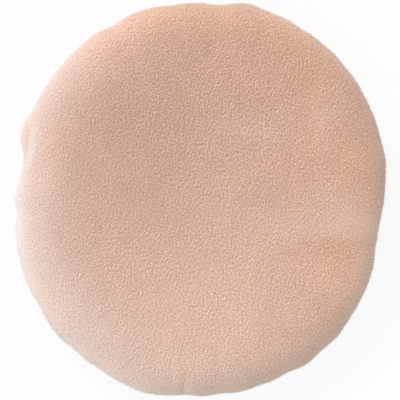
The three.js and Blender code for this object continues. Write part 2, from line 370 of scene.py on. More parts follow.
def dome(name, cuts, skin, depth, upward):
    """One skin of a disc: half of a cube with even cuts, rounded, then laid along the skin's shape."""
    deselect_all()
    bpy.ops.mesh.primitive_cube_add(size=2)
    piece = name_new(name)
    bpy.ops.object.mode_set(mode="EDIT")
    bpy.ops.mesh.select_all(action="SELECT")
    bpy.ops.mesh.subdivide(number_cuts=cuts - 1)
    bpy.ops.mesh.select_all(action="DESELECT")
    bpy.ops.object.mode_set(mode="OBJECT")
    low = np.empty(len(piece.data.polygons) * 3)
    piece.data.polygons.foreach_get("center", low)
    piece.data.polygons.foreach_set("select", low.reshape(-1, 3)[:, 2] < 0)
    bpy.ops.object.mode_set(mode="EDIT")
    bpy.ops.mesh.delete(type="FACE")
    bpy.ops.object.mode_set(mode="OBJECT")
    spots = np.tan(points_of(piece) * math.pi / 4)
    spots /= np.linalg.norm(spots, axis=1)[:, None]
    angle = np.arctan2(spots[:, 1], spots[:, 0])
    share = np.arccos(np.clip(spots[:, 2], -1, 1)) / (math.pi / 2)
    share = np.where(share > AT_FOLD, 1.0, share)
    radius, height, over = skin(angle, share, depth)
    places = np.stack([radius * np.cos(angle), radius * np.sin(angle), height], 1)
    set_points(piece, places * MM)
    set_attribute(piece, "share", share)
    turn = angle - math.radians(ROW_ANGLE)
    flat = np.stack([over * np.cos(turn), over * np.sin(turn)], 1) / MAP_SPAN + 0.5
    set_map(piece, "cloth", flat)
    spread, middle = OUTER_BAKE if depth == 0 else LINING_BAKE
    set_map(piece, "OFBake", (flat - 0.5) / np.abs(flat - 0.5).max() * spread + middle)
    if not upward:
        pick(piece)
        bpy.ops.object.mode_set(mode="EDIT")
        bpy.ops.mesh.select_all(action="SELECT")
        bpy.ops.mesh.flip_normals()
        bpy.ops.object.mode_set(mode="OBJECT")
    return piece


def share_of(piece):
    """How far each vertex lies from the middle of its disc, as a share of the way to the fold."""
    values = np.empty(len(piece.data.vertices), np.float32)
    piece.data.attributes["share"].data.foreach_get("value", values)
    return values


def turn_in(piece, fold):
    """The turned edge: the skin's open edge is drawn out flat into the seam as far as the raw edge."""
    pick(piece)
    bpy.ops.object.mode_set(mode="EDIT")
    bpy.ops.mesh.select_mode(type="EDGE")
    bpy.ops.mesh.select_all(action="DESELECT")
    bpy.ops.mesh.select_non_manifold()
    bpy.ops.mesh.extrude_edges_move()
    bpy.ops.object.mode_set(mode="OBJECT")
    chosen = np.empty(len(piece.data.vertices), bool)
    piece.data.vertices.foreach_get("select", chosen)
    places = points_of(piece)
    angle = np.arctan2(places[chosen, 1], places[chosen, 0])
    cut = back_rim(angle) - SEAM_GROOVE - SEAM_ALLOWANCE
    places[chosen] = np.stack([cut * np.cos(angle), cut * np.sin(angle), fold(angle)], 1) * MM
    set_points(piece, places)


def settle_cloth(piece, held_to, slack_from):
    """Lets pressure fill the cloth for a moment. It is held at its seam, and as far out as held_to on its
    foam. From slack_from outwards it is cut a little full, so that it puckers between its stitches."""
    share = share_of(piece)
    names = {"held": (share > SEAM_HOLD) | (share < held_to), "slack": share > slack_from}
    for name, chosen in names.items():
        group = piece.vertex_groups.new(name=name)
        group.add([int(i) for i in np.nonzero(chosen)[0]], 1.0, "REPLACE")
    before = points_of(piece)
    set_points(piece, before * CLOTH_SCALE)
    pick(piece)
    cloth = piece.modifiers.new("Cloth", "CLOTH")
    cloth.settings.quality = CLOTH_QUALITY
    cloth.settings.mass = CLOTH_MASS
    cloth.settings.tension_stiffness = CLOTH_PULL
    cloth.settings.compression_stiffness = CLOTH_PULL
    cloth.settings.shear_stiffness = CLOTH_PULL / 2
    cloth.settings.bending_stiffness = CLOTH_BEND
    cloth.settings.use_pressure = True
    cloth.settings.uniform_pressure_force = CLOTH_PRESSURE
    cloth.settings.vertex_group_mass = "held"
    cloth.settings.vertex_group_shrink = "slack"
    cloth.settings.shrink_min = 0.0
    cloth.settings.shrink_max = -CLOTH_SLACK
    cloth.settings.effector_weights.gravity = 0.0
    cloth.point_cache.frame_start = 1
    cloth.point_cache.frame_end = CLOTH_FRAMES
    for step in range(1, CLOTH_FRAMES + 1):
        bpy.context.scene.frame_set(step)
    bpy.ops.object.modifier_apply(modifier=cloth.name)
    bpy.context.scene.frame_set(1)
    moved = points_of(piece) / CLOTH_SCALE - before
    far = np.linalg.norm(moved, axis=1)
    kept = CLOTH_CAP * MM * np.tanh(far / (CLOTH_CAP * MM)) / np.maximum(far, TINY)
    set_points(piece, before + moved * kept[:, None])
    piece.vertex_groups.clear()


def close_shell(outer, lining):
    """Joins a disc's outer skin and its lining at the raw edge, into one closed piece of cloth."""
    pick(outer, lining)
    bpy.ops.object.join()
    bpy.ops.object.mode_set(mode="EDIT")
    bpy.ops.mesh.select_mode(type="EDGE")
    bpy.ops.mesh.select_all(action="DESELECT")
    bpy.ops.mesh.select_non_manifold()
    bpy.ops.mesh.bridge_edge_loops()
    bpy.ops.mesh.select_all(action="SELECT")
    bpy.ops.mesh.normals_make_consistent(inside=False)
    bpy.ops.object.mode_set(mode="OBJECT")
    smooth_faces(outer)


# Materials

def linear(code):
    """A hex sRGB colour as linear red, green, blue and alpha."""
    values = [int(code[i : i + 2], 16) / 255 for i in (1, 3, 5)]
    return [v / 12.92 if v <= 0.04045 else ((v + 0.055) / 1.055) ** 2.4 for v in values] + [1.0]


def add_node(material, kind, inputs=None, **settings):
    node = material.node_tree.nodes.new("ShaderNode" + kind)
    for name, value in settings.items():
        setattr(node, name, value)
    for socket, value in (inputs or {}).items():
        if isinstance(value, bpy.types.NodeSocket):
            material.node_tree.links.new(value, node.inputs[socket])
        else:
            node.inputs[socket].default_value = value
    return node


def new_material(name):
    material = bpy.data.materials.new(name)
    material.use_nodes = True
    material.node_tree.nodes.clear()
    return material


def velour_material():
    # Cotton velour, knitted, cropped and brushed: short pile that clumps into small tufts over the knit's
    # loops. It is matt from above, paler or deeper where the pile was stroked one way or the other, and turns
    # whitish where it is seen along the pile, at the rim, from its sheen. On the face, light and shade are
    # painted into its colour, with a painted whitish sheen along the left rim. The tips of the tufts are
    # pale, and the gaps between them are deep and warm, partly as painted shade.
    material = new_material("cotton_velour")
    flat = add_node(material, "UVMap", uv_map="cloth")
    in_mm = add_node(
        material, "VectorMath", {0: flat.outputs[0], 1: (MAP_SPAN, MAP_SPAN, 1)}, operation="MULTIPLY"
    )
    loop_pitch = 0.62
    loop_turn = 22
    waves = []
    for turn in (loop_turn, loop_turn + 90):
        turned = add_node(
            material, "Mapping", {"Vector": in_mm.outputs[0], "Rotation": (0, 0, math.radians(turn))}
        )
        wave = add_node(
            material,
            "TexWave",
            {
                "Vector": turned.outputs[0],
                "Scale": math.pi / 10 / loop_pitch,
                "Distortion": 9.0,
                "Detail": 2.0,
                "Detail Scale": 1.0,
                "Detail Roughness": 0.5,
            },
            bands_direction="X",
        )
        waves.append(wave)
    loops = add_node(
        material,
        "Math",
        {0: waves[1].outputs["Fac"], 1: 0.9, 2: waves[0].outputs["Fac"]},
        operation="MULTIPLY_ADD",
    )
    # The same tufts twice, the second ones a little to one side, so that each tuft gets a painted highlight
    # on one flank and painted shade on the other
    tuft_width = 0.42
    tuft_length = 0.52
    tuft_turn = -4
    flank_shift = 0.2
    tufts = []
    for shift in (0, flank_shift):
        shifted = add_node(
            material, "VectorMath", {0: in_mm.outputs[0], 1: (-shift, shift, 0)}, operation="ADD"
        )
        combed = add_node(
            material,
            "Mapping",
            {
                "Vector": shifted.outputs[0],
                "Rotation": (0, 0, math.radians(tuft_turn)),
                "Scale": (1 / tuft_width, 1 / tuft_length, 1),
            },
        )
        tuft = add_node(
            material,
            "TexNoise",
            {"Vector": combed.outputs[0], "Scale": 1.0, "Detail": 3.0, "Roughness": 0.85},
            noise_dimensions="2D",
        )
        tufts.append(tuft)
    loop_share = 0.1
    height = add_node(
        material,
        "Math",
        {0: loops.outputs[0], 1: loop_share, 2: tufts[0].outputs[0]},
        operation="MULTIPLY_ADD",
    )
    bump = add_node(material, "Bump", {"Height": height.outputs[0], "Strength": 0.7, "Distance": 0.3 * MM})
    # Painted shade: each tuft is darkened where its shifted copy stands high, which leaves one flank paler
    # and the other deeper
    flank_shade = -0.4
    shaded = add_node(
        material,
        "Math",
        {0: tufts[1].outputs[0], 1: flank_shade, 2: height.outputs[0]},
        operation="MULTIPLY_ADD",
    )
    tips = add_node(
        material,
        "MapRange",
        {"Value": shaded.outputs[0], "From Min": 0.19, "From Max": 0.61},
    )
    bright_tips = add_node(material, "Math", {0: tips.outputs[0], 1: 1.35}, operation="POWER")
    # Pale tips and deep gaps: the pile's own grain, with painted shade in the gaps between the tufts
    grain_and_shade = add_node(
        material,
        "Mix",
        {"Factor": bright_tips.outputs[0], "A": (0.68, 0.45, 0.25, 1), "B": (1.5, 1.97, 2.4, 1)},
        data_type="RGBA",
    )
    # How light the pile looks: stroked pile, and on the face painted light and shade
    lift = add_node(material, "Attribute", attribute_name="lift")
    # Patches where use has ruffled the pile a little paler or deeper
    patch_size = 9.0
    patches = add_node(
        material,
        "TexNoise",
        {
            "Vector": in_mm.outputs[0],
            "Scale": 1 / patch_size,
            "Detail": 3.0,
            "Roughness": 0.6,
            "Distortion": 0.6,
        },
        noise_dimensions="2D",
    )
    ruffled = add_node(
        material,
        "MapRange",
        {"Value": patches.outputs[0], "From Min": 0.42, "From Max": 0.58, "To Min": 0.975, "To Max": 1.025},
        interpolation_type="SMOOTHSTEP",
    )
    paler = add_node(material, "Math", {0: lift.outputs["Fac"], 1: ruffled.outputs[0]}, operation="MULTIPLY")
    toned_and_shaded = add_node(
        material,
        "VectorMath",
        {0: linear("#CC997A")[:3], "Scale": paler.outputs[0]},
        operation="SCALE",
    )
    # Whitish bloom: powder in the pile, and on the face a painted sheen along the left rim
    powder_and_sheen = add_node(material, "Attribute", attribute_name="powder_and_sheen")
    pile = add_node(
        material,
        "Mix",
        {"Factor": 1.0, "A": toned_and_shaded.outputs[0], "B": grain_and_shade.outputs["Result"]},
        data_type="RGBA",
        blend_type="MULTIPLY",
    )
    colour = add_node(
        material,
        "Mix",
        {"Factor": powder_and_sheen.outputs["Fac"], "A": pile.outputs["Result"], "B": linear("#EDE6E3")},
        data_type="RGBA",
    )
    shader = add_node(
        material,
        "BsdfPrincipled",
        {
            "Base Color": colour.outputs["Result"],
            "Roughness": 0.9,
            "IOR": 1.45,
            "Sheen Weight": 1.0,
            "Sheen Roughness": 0.8,
            "Sheen Tint": linear("#FFF0E8"),
            "Normal": bump.outputs[0],
        },
    )
    add_node(material, "OutputMaterial", {"Surface": shader.outputs[0]})
    return material


def foam_material():
    # Polyurethane foam, cut from a block: cream, matt, with small open cells.
    material = new_material("polyurethane_foam")
    place = add_node(material, "TexCoord")
    cell = 0.5 * MM
    cells = add_node(
        material,
        "TexVoronoi",
        {"Vector": place.outputs["Object"], "Scale": 1 / cell},
        feature="DISTANCE_TO_EDGE",
    )
    bump = add_node(material, "Bump", {"Height": cells.outputs[0], "Strength": 0.8, "Distance": 0.2 * MM})
    walls = add_node(material, "MapRange", {"Value": cells.outputs[0], "From Min": 0.0, "From Max": 0.3})
    colour = add_node(
        material,
        "Mix",
        {"Factor": walls.outputs[0], "A": linear("#F3EAD8"), "B": linear("#DCCDB2")},
        data_type="RGBA",
    )
    shader = add_node(
        material,
        "BsdfPrincipled",
        {"Base Color": colour.outputs["Result"], "Roughness": 0.95, "IOR": 1.5, "Normal": bump.outputs[0]},
    )
    add_node(material, "OutputMaterial", {"Surface": shader.outputs[0]})
    return material


def satin_material():
    # Polyester satin ribbon, woven with long floats: a soft lustre along its length, fine cross ribs and a
    # denser selvedge on both edges. The real ribs are about 0.15 mm apart and are drawn at 0.35 mm so that
    # they show.
    material = new_material("polyester_satin")
    flat = add_node(material, "UVMap", uv_map="ribbon")
    in_mm = add_node(
        material, "VectorMath", {0: flat.outputs[0], 1: (MAP_SPAN, MAP_SPAN, 1)}, operation="MULTIPLY"
    )
    rib_pitch = 0.35
    ribs = add_node(
        material,
        "TexWave",
        {
            "Vector": in_mm.outputs[0],
            "Scale": math.pi / 10 / rib_pitch,
            "Distortion": 0.6,
            "Detail": 1.0,
            "Detail Scale": 2.0,
        },
        bands_direction="X",
    )
    floats_per_mm = (0.35, 5, 1)
    stretched = add_node(
        material, "VectorMath", {0: in_mm.outputs[0], 1: floats_per_mm}, operation="MULTIPLY"
    )
    floats = add_node(
        material,
        "TexNoise",
        {"Vector": stretched.outputs[0], "Scale": 1.0, "Detail": 2.0},
        noise_dimensions="2D",
    )
    split = add_node(material, "SeparateXYZ", {0: in_mm.outputs[0]})
    from_middle = add_node(material, "Math", {0: split.outputs[1]}, operation="ABSOLUTE")
    selvedge_from = RIBBON_WIDTH / 2 - 0.8
    selvedge_full = RIBBON_WIDTH / 2 - 0.6
    selvedge = add_node(
        material,
        "MapRange",
        {"Value": from_middle.outputs[0], "From Min": selvedge_from, "From Max": selvedge_full},
    )
    weave = add_node(
        material,
        "Math",
        {0: floats.outputs[0], 1: 0.6, 2: ribs.outputs["Fac"]},
        operation="MULTIPLY_ADD",
    )
    bump = add_node(material, "Bump", {"Height": weave.outputs[0], "Strength": 0.25, "Distance": 0.08 * MM})
    sheen_line = add_node(
        material,
        "Mix",
        {"Factor": floats.outputs[0], "A": linear("#C58C77"), "B": linear("#E2B29E")},
        data_type="RGBA",
    )
    colour = add_node(
        material,
        "Mix",
        {"Factor": selvedge.outputs[0], "A": sheen_line.outputs["Result"], "B": linear("#C9937E")},
        data_type="RGBA",
    )
    rough = add_node(
        material,
        "MapRange",
        {"Value": floats.outputs[0], "From Min": 0.3, "From Max": 0.7, "To Min": 0.32, "To Max": 0.45},
    )
    shader = add_node(
        material,
        "BsdfPrincipled",
        {
            "Base Color": colour.outputs["Result"],
            "Roughness": rough.outputs[0],
            "IOR": 1.5,
            "Anisotropic": 0.5,
            "Normal": bump.outputs[0],
        },
    )
    add_node(material, "OutputMaterial", {"Surface": shader.outputs[0]})
    return material


def thread_material():
    # Spun polyester sewing thread, two plies twisted together: slightly glossy with short loose fibres.
    material = new_material("spun_polyester_thread")
    place = add_node(material, "TexCoord")
    fibre = 0.06 * MM
    fibres = add_node(
        material, "TexNoise", {"Vector": place.outputs["Object"], "Scale": 1 / fibre, "Detail": 1.0}
    )
    bump = add_node(material, "Bump", {"Height": fibres.outputs[0], "Strength": 0.4, "Distance": 0.03 * MM})
    colour = add_node(
        material,
        "Mix",
        {"Factor": fibres.outputs[0], "A": linear("#BE907B"), "B": linear("#DDB5A1")},
        data_type="RGBA",
    )
    shader = add_node(
        material,
        "BsdfPrincipled",
        {"Base Color": colour.outputs["Result"], "Roughness": 0.55, "IOR": 1.5, "Normal": bump.outputs[0]},
    )
    add_node(material, "OutputMaterial", {"Surface": shader.outputs[0]})
    return material


velour = velour_material()
foam_cells = foam_material()
satin = satin_material()
spun_thread = thread_material()


def dress(piece, material, slot, *nodes):
    piece.data.materials.clear()
    piece.data.materials.append(material)
    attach(piece, "root")
    if nodes:
        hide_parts(*nodes)


# Handling has stroked the pile one way or the other and left a bloom of fine powder in it. The face's strokes
# also paint light and shade: shade across its dished middle and along its lower and right rim, highlights and
# shadows beside its creases and tucks, and a whitish sheen along its left rim. Each stroke is given in the
# photograph's own axes, in millimetres right and up from the middle of the puff: its place, half its length,
# half its width, the turn of its length, and how much it adds.
FACE_TONE_AND_SHADE = [
    (-12, 14, 17, 11, 40, -0.08),
    (10, 19, 7, 5, -30, -0.03),
    (-2, 0, 12, 10, 0, -0.045),
    (14, 1, 5, 4, 0, -0.05),
    (25, 17, 5, 7, 0, 0.15),
    (30, 4, 4, 9, 0, 0.17),
    (31, -5.5, 6, 3, -15, 0.16),
    (29, -15, 6, 7, 0, 0.28),
    (28, -10.2, 7, 2, -5, -0.08),
    (2, -29, 22, 10, 0, 0.155),
    (-2, -12, 14, 8, 0, 0.03),
    (20, -25, 7, 5, 45, 0.06),
    (0, 37, 20, 4, 0, 0.14),
    (20, 32, 9, 4, -45, 0.07),
    (-19, 30, 11, 4, 35, 0.18),
    (-29, 25, 9, 3, 50, -0.09),
    (-31.5, 6, 13, 3, 83, 0.17),
    (-25, 25, 6, 3, 48, 0.06),
    (-30, -20, 9, 3.5, -60, 0.08),
    (-7, -36, 9, 4, 0, 0.11),
    (26, -6, 6, 3, 0, 0.08),
    (37, 6, 6, 1.5, 90, -0.1),
    (-2, -40.5, 22, 2.2, 0, -0.17),
    (-18, 34, 8, 2, 32, 0.05),
    (-33, 9, 7, 2, 80, 0.05),
]
FACE_POWDER_AND_SHEEN = [
    (-36, -2, 24, 5, 90, 0.21),
    (-38.5, -2, 26, 2.2, 90, 0.42),
    (-33.9, 10.2, 3.2, 1.2, 75, 0.22),
    (-35.5, 11.5, 3, 1, 80, -0.18),
    (-29, 23, 14, 5, 50, 0.16),
    (-28.5, 27.5, 12, 2.5, 45, 0.12),
    (-27, -22, 16, 6, -52, 0.09),
    (0, -28, 22, 12, 0, 0.06),
    (4, -10, 16, 8, 0, 0.02),
    (12, 13, 8, 4, -10, 0.05),
    (18, 8, 5, 6, 0, -0.03),
    (27, 17, 4, 6, 0, 0.08),
    (31, -3.5, 8, 3.2, -40, 0.19),
    (23, -6, 7, 2.5, 0, 0.1),
    (28, -10.5, 8, 2.2, 0, -0.07),
    (20, -14, 6, 4, 0, -0.03),
    (-6, 18, 18, 10, 0, -0.035),
    (-6, -22, 12, 8, 0, 0.012),
    (33, -14, 10, 2.5, 70, 0.05),
    (-14, 37, 8, 2.5, 20, 0.05),
    (6, 14.6, 4.5, 1.2, -15, 0.09),
    (17, 15.5, 2.5, 3.5, 10, 0.04),
    (24.5, 17.5, 2, 3, 0, 0.07),
    (28.5, -7.2, 6.5, 0.9, -3, 0.08),
    (28, -9.4, 7, 0.9, -3, -0.06),
]
# Tucks that the drawn-up seam leaves in the face, in the same way, as how far they stand out
FACE_TUCKS = [
    (-35.5, 10, 4, 0.9, 80, -0.45),
    (-34, 9, 5, 1.1, 80, 0.15),
    (-37, 12.5, 4, 1.4, 80, 0.3),
    (29, -8.5, 5, 1.1, -12, -0.3),
    (30, -5.5, 6, 2, -25, 0.25),
    (-3.3, -40.5, 3, 0.8, 85, -0.33),
]
BACK_LIFT = [
    (-14, 20, 14, 5, 30, 0.08),
    (18, -16, 16, 6, 120, -0.08),
    (4, 26, 12, 5, -20, 0.06),
]
BACK_BLOOM = [
    (10, -8, 20, 12, 40, 0.03),
]
# How light the pile is and how much bloom is in it before any stroke
PILE_LIFT = 1.1
PILE_BLOOM = 0.065
# How much both change over this many millimetres to the right and up. On the face both are painted light
# across the whole face: it is paler towards the lower right and whiter towards the lower left.
LEAN_OVER = 10
FACE_PAINTED_LIGHT_LEAN = (0.04, -0.036)
FACE_PAINTED_SHEEN_LEAN = (-0.007, -0.023)
NO_LEAN = (0.0, 0.0)
# The face's painted lean of the lift fades out between these shares of the puff's radius, and leaves the
# rolled edge without it
LEAN_FULL_TO = 0.84
LEAN_GONE_FROM = 0.97


def strokes_at(right, up, strokes):
    total = np.zeros_like(right)
    for x, y, half_length, half_width, tilt, amount in strokes:
        tilt = math.radians(tilt)
        along = (right - x) * math.cos(tilt) + (up - y) * math.sin(tilt)
        across = (up - y) * math.cos(tilt) - (right - x) * math.sin(tilt)
        total += amount * np.exp(-((along / half_length) ** 2) - (across / half_width) ** 2)
    return total


def photo_axes(piece):
    """How far right and up of the puff's middle each vertex lies in the photograph, in millimetres."""
    places = points_of(piece) / MM
    turn = math.radians(ROW_ANGLE)
    right = places[:, 0] * math.cos(turn) + places[:, 1] * math.sin(turn)
    up = places[:, 1] * math.cos(turn) - places[:, 0] * math.sin(turn)
    return right, up


def tuck_cloth(piece, tucks):
    rise = strokes_at(*photo_axes(piece), tucks) * MM
    set_points(piece, points_of(piece) + normals_of(piece) * rise[:, None])


# The seam's puckers: depth, width, the least and most that a stitch pulls, and the shares of the way out
# where they begin and over which they grow
PUCKER_DEPTH = 0.3
PUCKER_WIDTH = 0.9
PUCKER_PULL = (0.1, 1.3)
FACE_PUCKERS = 0.9
BACK_PUCKERS = 0.88
PUCKER_EASE = 0.07


def pucker_seam(piece, begins, seed):
    """Draws the cloth in beside each needle hole of the seam, as unevenly as the thread pulls."""
    pull = PUCKER_DEPTH * np.random.default_rng(seed).uniform(*PUCKER_PULL, STITCHES)
    share = share_of(piece)
    places = points_of(piece)
    stitch = np.arctan2(places[:, 1], places[:, 0]) / FACET % STITCHES
    off = (stitch % 1 - 0.5) * FACET * DIAMETER / 2
    draw = pull[stitch.astype(int) % STITCHES] * np.exp(-((off / PUCKER_WIDTH) ** 2))
    draw = draw * smoothstep(share, begins, begins + PUCKER_EASE) * (1 - smoothstep(share, SEAM_HOLD, 1.0))
    set_points(piece, places - normals_of(piece) * draw[:, None] * MM)


# The pile's longest fibres, which stand out of the cropped pile and soften its outline
FIBRE_LENGTH = 0.65
FIBRE_SHORTEST = 0.35
FIBRE_WIDTH = 0.04
FIBRE_ROOT = 0.1
FIBRE_LEAN = 0.45
FIBRE_POINTS = 4
FIBRE_UNEVEN = 0.2
FIBRE_SHADE_SEED = 9
# No fibre grows past this share of the way out, where the cloth is turned into the seam
FIBRE_END = 0.99
# A fibre's own points in its square of the bake map
FIBRE_BAKE = np.array([[0.5, 0.4], [0.1, 0.1], [0.9, 0.1], [0.5, 0.9]])
FACE_FIBRES = 46000
BACK_FIBRES = 34000


def brush_and_shade_pile(piece, tone_and_shade_strokes, powder_and_sheen_strokes, tone_and_shade_lean, powder_and_sheen_lean, uneven=0.0):
    """Writes how light the pile looks at each vertex, where it was stroked and, on the face, where light and
    shade are painted into it, and how much whitish bloom is in it: powder and, on the face, painted sheen.
    Uneven is how far single fibres differ."""
    right, up = photo_axes(piece)
    lean_fade = 1 - smoothstep(np.hypot(right, up) / (DIAMETER / 2), LEAN_FULL_TO, LEAN_GONE_FROM)
    lift = PILE_LIFT + (tone_and_shade_lean[0] * right + tone_and_shade_lean[1] * up) / LEAN_OVER * lean_fade
    lift = lift + strokes_at(right, up, tone_and_shade_strokes)
    powder_and_sheen = PILE_BLOOM + (powder_and_sheen_lean[0] * right + powder_and_sheen_lean[1] * up) / LEAN_OVER
    powder_and_sheen = powder_and_sheen + strokes_at(right, up, powder_and_sheen_strokes)
    if uneven:
        shade = np.random.default_rng(FIBRE_SHADE_SEED).normal(1.0, uneven, len(lift) // FIBRE_POINTS)
        lift = lift * np.repeat(shade, FIBRE_POINTS)
    for name, values in (("lift", lift), ("powder_and_sheen", powder_and_sheen)):
        set_attribute(piece, name, np.clip(values, 0, 2))


def plant_pile(name, skin, count, seed):
    """One piece of short fibres, spread evenly over a skin. A fibre whose tip would be under the floor is
    left out."""
    dice = np.random.default_rng(seed)
    deselect_all()
    bpy.ops.mesh.primitive_cone_add(
        vertices=3, radius1=FIBRE_WIDTH / 2 * MM, radius2=0, depth=FIBRE_LENGTH * MM
    )
    piece = name_new(name)
    fibre = points_of(piece)
    fibre[:, 2] += (FIBRE_LENGTH / 2 - FIBRE_ROOT) * MM
    corners = [list(face.vertices) for face in piece.data.polygons]
    share = share_of(skin)
    places = points_of(skin)
    outward = normals_of(skin)
    spots = np.empty((len(places), 2))
    corner_of = np.empty(len(skin.data.loops), np.int32)
    skin.data.loops.foreach_get("vertex_index", corner_of)
    map_of = np.empty(len(corner_of) * 2, np.float32)
    skin.data.uv_layers["cloth"].uv.foreach_get("vector", map_of)
    spots[corner_of] = map_of.reshape(-1, 2)
    quads = np.array([list(face.vertices) for face in skin.data.polygons])
    area = np.array([face.area for face in skin.data.polygons])
    weight = area * (share[quads].mean(1) < FIBRE_END)
    chosen = dice.choice(len(quads), count, p=weight / weight.sum())
    across, along = dice.random((2, count, 1))
    blend = [(1 - across) * (1 - along), across * (1 - along), across * along, (1 - across) * along]
    root = sum(part * places[quads[chosen, i]] for i, part in enumerate(blend))
    up = sum(part * outward[quads[chosen, i]] for i, part in enumerate(blend))
    spot = sum(part * spots[quads[chosen, i]] for i, part in enumerate(blend))
    up = up + dice.normal(0, FIBRE_LEAN, (count, 3))
    up /= np.linalg.norm(up, axis=1)[:, None]
    side = np.cross(up, dice.normal(0, 1, (count, 3)))
    side /= np.linalg.norm(side, axis=1)[:, None]
    other = np.cross(up, side)
    tall = dice.uniform(FIBRE_SHORTEST, 1.0, (count, 1))
    free = (root + up * tall * FIBRE_LENGTH * MM)[:, 2] > 0
    root, up, spot, side, other, tall = (values[free] for values in (root, up, spot, side, other, tall))
    count = len(root)
    copies = [root + x * side + y * other + z * tall * up for x, y, z in fibre]
    piece.data.clear_geometry()
    points = np.stack(copies, 1).reshape(-1, 3)
    steps = (np.arange(count) * len(fibre))[:, None]
    faces = np.concatenate([steps + np.array(corner) for corner in corners])
    piece.data.from_pydata(points.tolist(), [], faces.tolist())
    piece.location = (0, 0, 0)
    smooth_faces(piece)
    set_map(piece, "cloth", np.repeat(spot, len(fibre), axis=0))
    side_count = math.ceil(math.sqrt(count))
    cell = np.stack(np.divmod(np.arange(count), side_count), 1)
    set_map(piece, "OFBake", ((cell[:, None] + FIBRE_BAKE) / side_count).reshape(-1, 2))
    return piece


# The velour discs
DOME_CUTS = 80
LINING_CUTS = 32

face = dome("velour_face", DOME_CUTS, face_skin, 0.0, True)
settle_cloth(face, 0.0, FACE_SLACK)
turn_in(face, face_fold)
apply_modifier(face, "SUBSURF", levels=1, render_levels=1)
tuck_cloth(face, FACE_TUCKS)
pucker_seam(face, FACE_PUCKERS, seed=11)
face_fibres = plant_pile("face_fibres", face, FACE_FIBRES, seed=7)
lining = dome("face_lining", LINING_CUTS, face_skin, CLOTH, False)
turn_in(lining, lambda angle: face_fold(angle) + CLOTH)
close_shell(face, lining)
brush_and_shade_pile(face, FACE_TONE_AND_SHADE, FACE_POWDER_AND_SHEEN, FACE_PAINTED_LIGHT_LEAN, FACE_PAINTED_SHEEN_LEAN)
brush_and_shade_pile(face_fibres, FACE_TONE_AND_SHADE, FACE_POWDER_AND_SHEEN, FACE_PAINTED_LIGHT_LEAN, FACE_PAINTED_SHEEN_LEAN, FIBRE_UNEVEN)
dress(face, velour, "velour", "face_cover")
dress(face_fibres, velour, "velour")

back = dome("velour_back", DOME_CUTS, back_skin, 0.0, False)
settle_cloth(back, BACK_HELD, BACK_SLACK)
turn_in(back, back_fold)
apply_modifier(back, "SUBSURF", levels=1, render_levels=1)
pucker_seam(back, BACK_PUCKERS, seed=12)
back_fibres = plant_pile("back_fibres", back, BACK_FIBRES, seed=8)
lining = dome("back_lining", LINING_CUTS, back_skin, CLOTH, True)
turn_in(lining, lambda angle: back_fold(angle) - CLOTH)
close_shell(back, lining)
brush_and_shade_pile(back, BACK_LIFT, BACK_BLOOM, NO_LEAN, NO_LEAN)
brush_and_shade_pile(back_fibres, BACK_LIFT, BACK_BLOOM, NO_LEAN, NO_LEAN, FIBRE_UNEVEN)
dress(back, velour, "velour", "back_cover")
dress(back_fibres, velour, "velour")


# The foam disc: the part's own grooved disc, rounded and with a slightly torn skin
FOAM_GRAIN = 1.5
FOAM_TORN = 0.2
foam = bpy.data.objects.new("foam_disc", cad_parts["foam_core"].data.copy())
foam.data.name = "foam_disc"
bpy.context.scene.collection.objects.link(foam)
pick(foam)
bpy.ops.object.mode_set(mode="EDIT")
bpy.ops.mesh.select_all(action="SELECT")
bpy.ops.mesh.remove_doubles(threshold=1e-6)
bpy.ops.mesh.tris_convert_to_quads()
bpy.ops.object.mode_set(mode="OBJECT")
apply_modifier(foam, "SUBSURF", levels=2, render_levels=2)
cut_skin = bpy.data.textures.new("cut_skin", "CLOUDS")
cut_skin.noise_scale = FOAM_GRAIN * MM
apply_modifier(
    foam, "DISPLACE", texture=cut_skin, texture_coords="LOCAL", strength=FOAM_TORN * MM, mid_level=0.6
)
dress(foam, foam_cells, "foam", "foam_core")


# The finger ribbon
RIBBON_STEPS = 260
RIBBON_COLUMNS = 14
RIBBON_BEVEL = 0.12
RIM_POINTS = 40
ROLL_POINTS = 20
REFINEMENTS = 4


def even_steps(line, count):
    """A line of points with even steps along it, and its length."""
    steps = np.linalg.norm(np.diff(line, axis=0), axis=1)
    along = np.concatenate([[0], np.cumsum(steps)])
    at = np.linspace(0, along[-1], count)
    return np.stack([np.interp(at, along, line[:, i]) for i in range(line.shape[1])], 1), along[-1]


def ribbon_end(angle, across):
    """Half of the ribbon's middle layer, some way across it, as distance from the puff's middle and height:
    flat under the resting ring, up round the rim and into the seam."""
    turn = math.asin(across / DIAMETER * 2)
    for _ in range(REFINEMENTS):
        turn = math.asin(across / float(back_rim(angle + turn)))
    reach = float(back_rim(angle + turn)) * math.cos(turn)
    away = CLEARANCE + RIBBON_THICKNESS / 2
    ring = float(rest_outer(angle))
    flat = RIBBON_THICKNESS / 2
    fold = reach - SEAM_GROOVE
    fullest = float(back_roll(angle))
    out, down, _ = even_quarter(RIM_POWER, REST_INSET, SEAM_HEIGHT, np.linspace(0, 1, RIM_POINTS))
    under = np.stack([ring + (reach + away - ring) * out, fullest + (flat - fullest) * down], 1)
    turns = np.linspace(0, math.pi / 2, ROLL_POINTS)[1:]
    roll = np.stack(
        [fold + (SEAM_GROOVE + away) * np.cos(turns), fullest + (SEAM_HEIGHT - fullest) * np.sin(turns)], 1
    )
    return np.concatenate([under, roll, [[fold - RIBBON_TAIL, SEAM_HEIGHT]]])


def ribbon_line(across):
    left = ribbon_end(math.pi, -across)
    right = ribbon_end(0.0, across)
    return np.concatenate([left[::-1] * [-1, 1], right])


